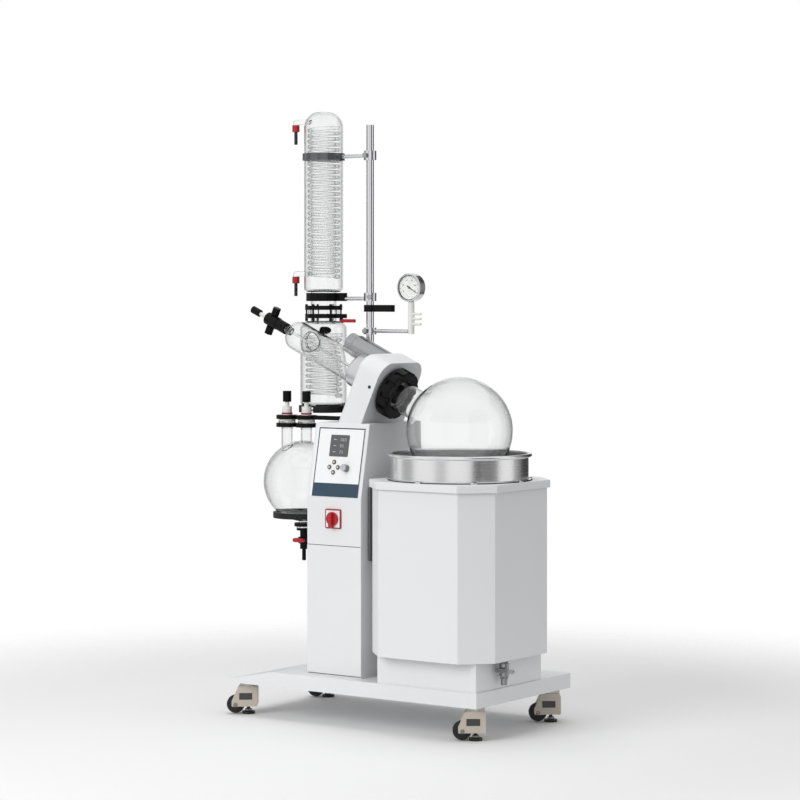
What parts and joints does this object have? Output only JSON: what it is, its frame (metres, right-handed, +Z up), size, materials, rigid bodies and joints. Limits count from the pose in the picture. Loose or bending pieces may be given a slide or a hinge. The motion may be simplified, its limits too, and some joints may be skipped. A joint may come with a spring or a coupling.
{
  "type": "rotary evaporator",
  "caption": "Floor-standing rotary evaporator: lifting octagonal bath, tilted rotating flask, stacked glass condensers, receiving flask and vacuum gauge on a wheeled base.",
  "frame": {"origin": "middle of the bounding box at floor level", "axes": "+X towards the bath end, +Y towards the back, +Z up"},
  "size_m": [1.1656, 0.633, 2.094],
  "materials": {
    "white_paint": "powder coat",
    "stainless": "brushed",
    "bright_steel": "polished",
    "machined_steel": "machined",
    "turned_aluminium": "satin",
    "motor_paint": "satin",
    "heater_cast": "raw",
    "black_steel": "satin",
    "black_plastic": "moulded",
    "white_plastic": "moulded",
    "red_plastic": "moulded",
    "caster_plastic": "moulded",
    "overlay": "printed film",
    "display": "smooth",
    "button_bronze": "domed film",
    "clear_glass": "clear",
    "wheel_rubber": "moulded"
  },
  "bodies": {
    "frame": {"base_frame": "white_paint", "plinth_cover": "white_paint", "column_cabinet": "white_paint", "column_front": "white_paint", "console_housing": "white_paint", "head_housing": "white_paint", "bearing_cover": "white_paint", "support_rod": "bright_steel", "rod_clamps": "bright_steel", "gauge_case": "stainless", "shaft_bearings": "machined_steel", "lift_drive": "machined_steel", "duct_flange": "turned_aluminium", "gear_motor": "motor_paint", "glass_supports": "black_steel", "feed_valve_body": "black_plastic", "glass_clamps": "black_plastic", "vacuum_post": "white_plastic", "receiver_valves": "white_plastic", "switch_plate": "white_plastic", "hose_caps": "red_plastic", "control_panel": "overlay", "display_window": "display", "vapour_head": "clear_glass", "lower_condenser": "clear_glass", "upper_condenser": "clear_glass", "condenser_coils": "clear_glass", "receiving_flask": "clear_glass"},
    "bath": {"bath_housing": "white_paint", "bath_lid": "white_paint", "bath_pan": "stainless", "pan_heater": "heater_cast", "lift_bracket": "machined_steel", "drain_valve": "bright_steel"},
    "rotor": {"evaporating_flask": "clear_glass", "lock_nut": "black_plastic", "drive_shaft": "machined_steel", "drive_gear": "machined_steel"},
    "drain_lever": {"drain_lever": "bright_steel"},
    "motor_pinion": {"motor_pinion": "machined_steel"},
    "lift_screw": {"lift_screw": "machined_steel"},
    "power_knob": {"power_knob": "red_plastic"},
    "speed_knob": {"speed_knob": "turned_aluminium"},
    "button_up": {"button_up": "button_bronze"},
    "button_left": {"button_left": "button_bronze"},
    "button_right": {"button_right": "button_bronze"},
    "button_down": {"button_down": "button_bronze"},
    "feed_knob": {"feed_knob": "black_plastic"},
    "vent_knob": {"vent_knob": "black_plastic"},
    "vacuum_lever": {"vacuum_lever": "red_plastic"},
    "discharge_knob": {"discharge_knob": "red_plastic"},
    "gauge_needle": {"gauge_needle": "black_plastic"},
    "caster_front_left": {"caster_front_left": "caster_plastic"},
    "wheel_front_left": {"wheel_front_left": "wheel_rubber"},
    "caster_rear_left": {"caster_rear_left": "caster_plastic"},
    "wheel_rear_left": {"wheel_rear_left": "wheel_rubber"},
    "caster_front_right": {"caster_front_right": "caster_plastic"},
    "wheel_front_right": {"wheel_front_right": "wheel_rubber"},
    "caster_rear_right": {"caster_rear_right": "caster_plastic"},
    "wheel_rear_right": {"wheel_rear_right": "wheel_rubber"}
  },
  "joints": [
    {"name": "bath_lift", "type": "slide", "parent": "frame", "child": "bath", "axis": [0, 0, 1], "range_m": [-0.085, 0.075]},
    {"name": "lift_screw_spin", "type": "hinge", "parent": "frame", "child": "lift_screw", "pos_m": [-0.12688, -0.0615, 0.662], "axis": [0, 0, 1], "continuous": true},
    {"name": "drain_lever_turn", "type": "hinge", "parent": "bath", "child": "drain_lever", "pos_m": [0.52512, -0.1625, 0.227], "axis": [0, 1, 0], "range_deg": [0, 90]},
    {"name": "flask_spin", "type": "hinge", "parent": "frame", "child": "rotor", "pos_m": [0.30312, -0.0615, 0.997], "axis": [-0.91, 0, 0.4147], "continuous": true},
    {"name": "pinion_spin", "type": "hinge", "parent": "frame", "child": "motor_pinion", "pos_m": [0.00356, 0.02277, 1.1885], "axis": [-0.91, 0, 0.4147], "continuous": true},
    {"name": "power_knob_turn", "type": "hinge", "parent": "frame", "child": "power_knob", "pos_m": [-0.10688, -0.214, 0.693], "axis": [0, 1, 0], "range_deg": [0, 90]},
    {"name": "speed_knob_turn", "type": "hinge", "parent": "frame", "child": "speed_knob", "pos_m": [-0.06738, -0.19421, 0.86304], "axis": [0, -0.9806, 0.1959], "range_deg": [-135, 135]},
    {"name": "button_up_press", "type": "slide", "parent": "frame", "child": "button_up", "axis": [0, 0.9806, -0.1959], "range_m": [0, 0.0015], "stiffness_N_per_m": 400},
    {"name": "button_left_press", "type": "slide", "parent": "frame", "child": "button_left", "axis": [0, 0.9806, -0.1959], "range_m": [0, 0.0015], "stiffness_N_per_m": 400},
    {"name": "button_right_press", "type": "slide", "parent": "frame", "child": "button_right", "axis": [0, 0.9806, -0.1959], "range_m": [0, 0.0015], "stiffness_N_per_m": 400},
    {"name": "button_down_press", "type": "slide", "parent": "frame", "child": "button_down", "axis": [0, 0.9806, -0.1959], "range_m": [0, 0.0015], "stiffness_N_per_m": 400},
    {"name": "feed_knob_turn", "type": "hinge", "parent": "frame", "child": "feed_knob", "pos_m": [-0.48855, -0.0615, 1.35778], "axis": [0.4147, 0, 0.91], "range_deg": [0, 90]},
    {"name": "vent_knob_turn", "type": "hinge", "parent": "frame", "child": "vent_knob", "pos_m": [-0.45188, -0.0265, 1.074], "axis": [0, 0, 1], "range_deg": [0, 540]},
    {"name": "vacuum_lever_swing", "type": "hinge", "parent": "frame", "child": "vacuum_lever", "pos_m": [-0.29388, 0.0835, 1.362], "axis": [0, 0, 1], "range_deg": [-90, 0]},
    {"name": "discharge_knob_turn", "type": "hinge", "parent": "frame", "child": "discharge_knob", "pos_m": [-0.37688, -0.0265, 0.594], "axis": [0, 1, 0], "range_deg": [0, 90]},
    {"name": "gauge_needle_swing", "type": "hinge", "parent": "frame", "child": "gauge_needle", "pos_m": [0.00012, 0.0715, 1.474], "axis": [0, -1, 0], "range_deg": [0, 240]},
    {"name": "caster_front_left_swivel", "type": "hinge", "parent": "frame", "child": "caster_front_left", "pos_m": [-0.48388, -0.2025, 0.098], "axis": [0, 0, 1], "continuous": true},
    {"name": "wheel_front_left_spin", "type": "hinge", "parent": "caster_front_left", "child": "wheel_front_left", "pos_m": [-0.5197, -0.22805, 0.0335], "axis": [-0.5807, 0.8141, 0], "continuous": true},
    {"name": "caster_rear_left_swivel", "type": "hinge", "parent": "frame", "child": "caster_rear_left", "pos_m": [-0.48388, 0.2565, 0.098], "axis": [0, 0, 1], "continuous": true},
    {"name": "wheel_rear_left_spin", "type": "hinge", "parent": "caster_rear_left", "child": "wheel_rear_left", "pos_m": [-0.5197, 0.23095, 0.0335], "axis": [-0.5807, 0.8141, 0], "continuous": true},
    {"name": "caster_front_right_swivel", "type": "hinge", "parent": "frame", "child": "caster_front_right", "pos_m": [0.46112, -0.2025, 0.098], "axis": [0, 0, 1], "continuous": true},
    {"name": "wheel_front_right_spin", "type": "hinge", "parent": "caster_front_right", "child": "wheel_front_right", "pos_m": [0.4253, -0.22805, 0.0335], "axis": [-0.5807, 0.8141, 0], "continuous": true},
    {"name": "caster_rear_right_swivel", "type": "hinge", "parent": "frame", "child": "caster_rear_right", "pos_m": [0.46112, 0.2565, 0.098], "axis": [0, 0, 1], "continuous": true},
    {"name": "wheel_rear_right_spin", "type": "hinge", "parent": "caster_rear_right", "child": "wheel_rear_right", "pos_m": [0.4253, 0.23095, 0.0335], "axis": [-0.5807, 0.8141, 0], "continuous": true}
  ],
  "couplings": [
    {"joint": "lift_screw_spin", "follows": "bath_lift", "rad_per_m": 785.4},
    {"joint": "pinion_spin", "follows": "flask_spin", "ratio": -2.7692}
  ]
}
